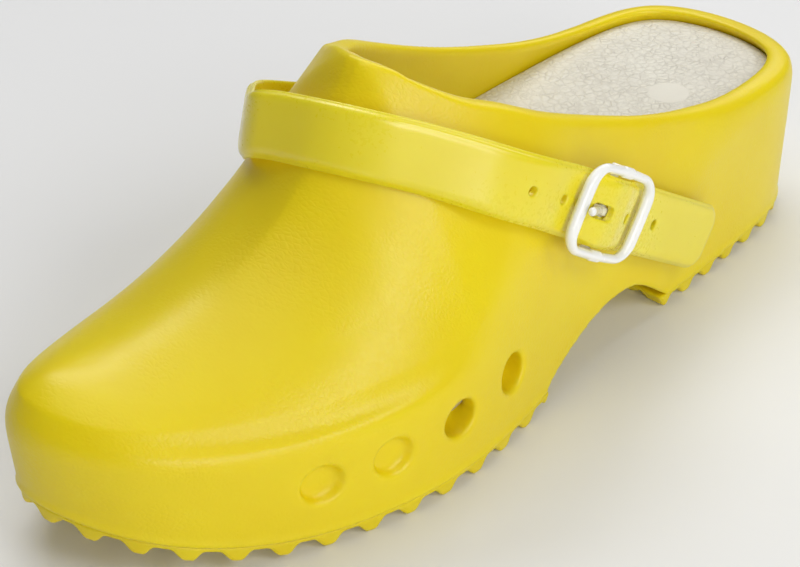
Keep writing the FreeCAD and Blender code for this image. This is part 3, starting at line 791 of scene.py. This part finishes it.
def buckle_frame(step=0.3):
    """Bowed ring, and the bar below it that hangs from an ear on each side."""
    axes = axes_for((44, 29, -14.6), (53, 71, 14.6), step)
    x, r, w = (axes[0][:, None, None] - FRAME_X, axes[1][None, :, None] - BAR_REACH, axes[2][None, None, :])
    half_length, half_width = FRAME_LENGTH / 2, FRAME_WIDTH / 2
    bow_length = 0.8 * (w / half_width) ** 2
    bow_width = 0.9 * (r / half_length) ** 2
    half_length = half_length - bow_length
    half_width = half_width - bow_width
    outer = rounded_box(r, w, half_length, half_width, FRAME_CORNER)
    window = rounded_box(r, w, half_length - FRAME_BAR, half_width - FRAME_RAIL, WINDOW_CORNER)
    ring = soft_max(soft_max(-outer, window, 0.8), np.abs(x) - 1.7, 2.6)
    bar_x = x + FRAME_X - BAR_X
    bar = soft_max(np.sqrt(bar_x**2 + r**2) - BAR_RADIUS, np.abs(w) - 12.4, 0.4)
    ear = np.maximum(np.abs(np.abs(w) - 11.8) - 1.2, np.abs(r) - 1.7)
    ear = soft_max(soft_max(ear, x - 0.3, 0.5), -bar_x - 1.4, 0.8)
    field = -soft_max(-ring, -ear, 1.2)
    return strap_net("buckle_frame_moulding", -soft_max(-field, -bar, 0.6), axes, step)


def buckle_prong(step=0.22):
    """Round arm from the bar to its tip, with a ring that turns on the bar."""
    axes = axes_for((43.6, 46.8, -1.9), (56, 68, 1.9), step)
    x, r, w = (axes[0][:, None, None], axes[1][None, :, None], axes[2][None, None, :])
    root = np.array([BAR_X, BAR_REACH])
    run = np.array(PRONG_TIP) - root
    length = np.linalg.norm(run)
    run /= length
    t = (x - root[0]) * run[0] + (r - root[1]) * run[1]
    away = (x - root[0]) * run[1] - (r - root[1]) * run[0]
    past = np.maximum(np.maximum(t - length, -t), 0)
    arm = np.sqrt(past**2 + (away * 1.15) ** 2 + w**2) - PRONG_RADIUS
    from_bar = np.sqrt((x - root[0]) ** 2 + (r - root[1]) ** 2)
    ring = soft_max(from_bar - 2.1, np.abs(w) - PRONG_RADIUS, 0.5)
    field = -soft_max(-ring, -arm, 0.8)
    return strap_net("buckle_prong_moulding", soft_max(field, BAR_HOLE_RADIUS - from_bar, 0.1), axes, step)


def stud(name, side, shaft_from, shaft_to, head_x):
    """Push-in stud turned about the pivot line: shaft, then a domed head with a small rim."""
    profile = [(shaft_from, 0.0), (shaft_from, 2.2), (shaft_from + 0.8, STUD_RADIUS), (shaft_to, STUD_RADIUS),
               (head_x, STUD_RADIUS),
               (head_x, 5.2), (head_x + 0.15, 5.45), (head_x + 0.7, 5.4), (head_x + 0.95, 5.0),
               (head_x + 0.95, 4.4), (head_x + 1.1, 3.8), (head_x + 1.2, 2.4), (head_x + 1.2, 0.0)]
    points = []
    for along, radius in profile:
        for k in range(STUD_SIDES):
            angle = 2 * math.pi * k / STUD_SIDES
            points.append((side * along, radius * math.cos(angle), radius * math.sin(angle)))
    faces = []
    for row in range(len(profile) - 1):
        low, high = row * STUD_SIDES, (row + 1) * STUD_SIDES
        for k in range(STUD_SIDES):
            n = (k + 1) % STUD_SIDES
            quad = [low + k, low + n, high + n, high + k]
            faces.append(quad[::-1] if side > 0 else quad)
    obj = mesh_object(name, strap_place(points), faces)
    bpy.context.view_layer.objects.active = obj
    edge = obj.modifiers.new("bevel", "BEVEL")
    edge.width = 0.12 * MM
    edge.segments = 2
    return obj


def insole_layer(name, inset_by, drop, thick, step, edge, sag):
    """Sheet thick mm thick, drop mm below the footbed, whose top rounds off and sags at its rim."""
    xs = np.arange(-40, 50, step)
    ys = np.arange(-142, 134, step)
    zs = np.arange(17, 54, step)
    inset, _ = welt_distance(xs, ys)
    top = smooth(FOOTBED_HEIGHT, ys)[None] - drop
    top = top - sag * (1 - np.clip((inset - inset_by) / 7, 0, 1)) ** 2
    slope = sloped(top, step)[:, :, None]
    z = zs[None, None, :]
    field = soft_max(-(inset[:, :, None] - inset_by), (z - top[:, :, None]) * slope, edge)
    field = soft_max(field, (top[:, :, None] - thick - z) * slope, 0.3)
    return net_mesh(name, field.astype(np.float32), (xs[0], ys[0], zs[0]), step)


# ---------- the shoe ----------

def place(obj, material, body, node):
    """Give a piece its material, hang it from the empty of the body it rides, and hide the model's node it
    takes the place of.
    """
    obj.data.materials.append(material)
    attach(obj, body)
    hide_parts(node)


BODY_STEP = 0.8
upper = upper_material()
tread = tread_material()
strap_look = strap_material()
white = buckle_material()
studs = stud_material()

place(clog_body(BODY_STEP), upper, "shoe", "clog_body")
forefoot = outsole("forefoot_tread", -160, ARCH_EDGE[0][0], front_slope=0.0, back_slope=TREAD_END_LEAN)
place(forefoot, tread, "shoe", "forefoot_outsole")
heel = outsole("heel_tread", ARCH_EDGE[-1][0], 160, front_slope=-TREAD_END_LEAN, back_slope=0.0)
place(heel, tread, "shoe", "heel_outsole")
foam = insole_layer("insole_foam_layer", BASE_INSET, drop=COVER, thick=CUSHION, step=0.9, edge=0.6, sag=0.0)
place(foam, foam_base_material(), "shoe", "insole_base")
cover = insole_layer("insole_leather_cover", COVER_INSET, drop=0.0, thick=COVER, step=0.7, edge=1.6, sag=0.5)
place(cover, leather_material(), "shoe", "insole_cover")
place(heel_strap(), strap_look, "strap", "heel_strap")
place(anchor_strap(), strap_look, "strap", "anchor_strap")
place(buckle_frame(), white, "buckle", "buckle_frame")
place(buckle_prong(), white, "prong", "buckle_prong")
outer_stud = stud("outer_stud", side=1, shaft_from=32.2, shaft_to=43.6, head_x=43.5)
place(outer_stud, studs, "shoe", "outer_pivot_stud")
inner_stud = stud("inner_stud", side=-1, shaft_from=27.8, shaft_to=42.3, head_x=42.3)
place(inner_stud, studs, "shoe", "inner_pivot_stud")


# ---------- floor, light and camera ----------

def floor():
    mesh = bpy.data.meshes.new("floor")
    size = 3.0
    corners = [(-size, -size, 0), (size, -size, 0), (size, size, 0), (-size, size, 0)]
    mesh.from_pydata(corners, [], [(0, 1, 2, 3)])
    obj = bpy.data.objects.new("floor", mesh)
    bpy.context.scene.collection.objects.link(obj)
    m = Nodes("pale_floor")
    cloud = m.ramp(m.noise(3, 3), 0.3, 0.7)
    m.link(m.mix(cloud, (0.86, 0.86, 0.86), (0.84, 0.84, 0.84)), m.shader.inputs["Base Color"])
    m.shader.inputs["Roughness"].default_value = 0.8
    obj.data.materials.append(m.material)


def area_light(name, place_at, look_at, size, watts):
    data = bpy.data.lights.new(name, "AREA")
    data.shape = "RECTANGLE"
    data.size, data.size_y = size
    data.energy = watts
    obj = bpy.data.objects.new(name, data)
    obj.location = place_at
    obj.rotation_euler = (Vector(look_at) - Vector(place_at)).to_track_quat("-Z", "Y").to_euler()
    bpy.context.scene.collection.objects.link(obj)


def sky(strength):
    world = bpy.data.worlds.new("studio")
    world.use_nodes = True
    background = world.node_tree.nodes["Background"]
    background.inputs["Color"].default_value = (1, 1, 1, 1)
    background.inputs["Strength"].default_value = strength
    bpy.context.scene.world = world


def camera():
    data = bpy.data.cameras.new("camera")
    data.sensor_width = 36.0
    data.lens = 78.2
    data.clip_start = 0.01
    data.clip_end = 20.0
    obj = bpy.data.objects.new("camera", data)
    eye = Vector((0.2799, -0.30835, 0.2916))
    target = Vector((-0.00259, -0.01918, 0.02608))
    turn = (target - eye).to_track_quat("-Z", "Y").to_matrix().to_4x4()
    roll = Matrix.Rotation(math.radians(-0.53), 4, "Z")
    obj.matrix_world = Matrix.Translation(eye) @ turn @ roll
    bpy.context.scene.collection.objects.link(obj)
    bpy.context.scene.camera = obj


floor()
sky(0.13)
area_light("side", (0.95, 0.05, 0.85), (0, -0.02, 0.04), (0.5, 0.5), 4.0)
area_light("right", (1.05, -0.5, 0.42), (0, -0.04, 0.04), (0.6, 0.6), 5.4)
area_light("top", (-0.05, -0.15, 1.1), (0, -0.02, 0.04), (0.8, 0.8), 2.3)
area_light("left", (-0.55, 0.32, 0.95), (0, -0.05, 0.04), (0.8, 0.4), 4.6)
area_light("back", (-0.2, 1.0, 0.8), (0, -0.02, 0.04), (0.7, 0.7), 3.0)
camera()
bpy.context.scene.view_settings.view_transform = "Standard"
